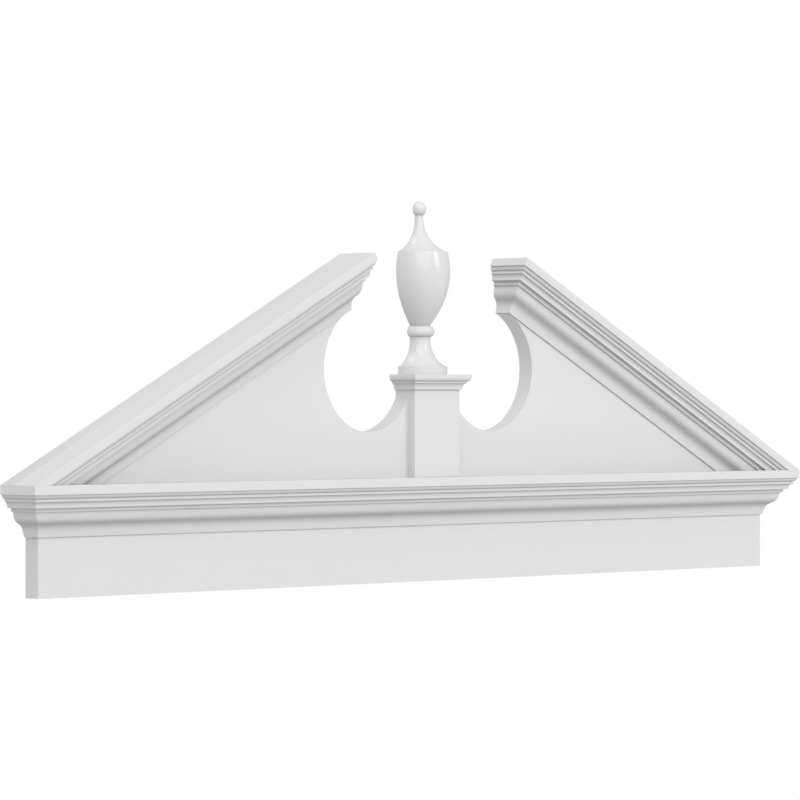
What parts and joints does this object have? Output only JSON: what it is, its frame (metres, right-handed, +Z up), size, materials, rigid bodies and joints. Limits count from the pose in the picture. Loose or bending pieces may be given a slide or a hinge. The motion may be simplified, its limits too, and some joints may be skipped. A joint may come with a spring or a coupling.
{
  "type": "pvc pediment",
  "caption": "Broken triangular pediment of white cellular PVC with mitred crown mouldings, round cut-outs in its tympanum, and a half-round urn finial on a capped pedestal.",
  "frame": {"origin": "on the wall face, at the middle of the back of the frieze: half way along its width and half way up its height", "axes": "+X along the wall, to the right as seen from the street; +Y into the wall, so the front faces -Y; +Z up"},
  "size_m": [1.613, 0.0698, 0.5541],
  "materials": {
    "sheet_pvc": "satin white cellular PVC sheet, smooth faces and finely porous sawn edges",
    "moulded_pvc": "satin white milled PVC moulding, with faint lengthwise cutter lines",
    "turned_pvc": "smooth white turned PVC, a little glossier than the mouldings"
  },
  "bodies": {
    "root": {"backboard": "sheet_pvc", "cornice_crown": "moulded_pvc", "rake_crown_left": "moulded_pvc", "rake_crown_right": "moulded_pvc", "pedestal": "sheet_pvc", "pedestal_cap": "moulded_pvc", "finial": "turned_pvc"}
  },
  "joints": []
}
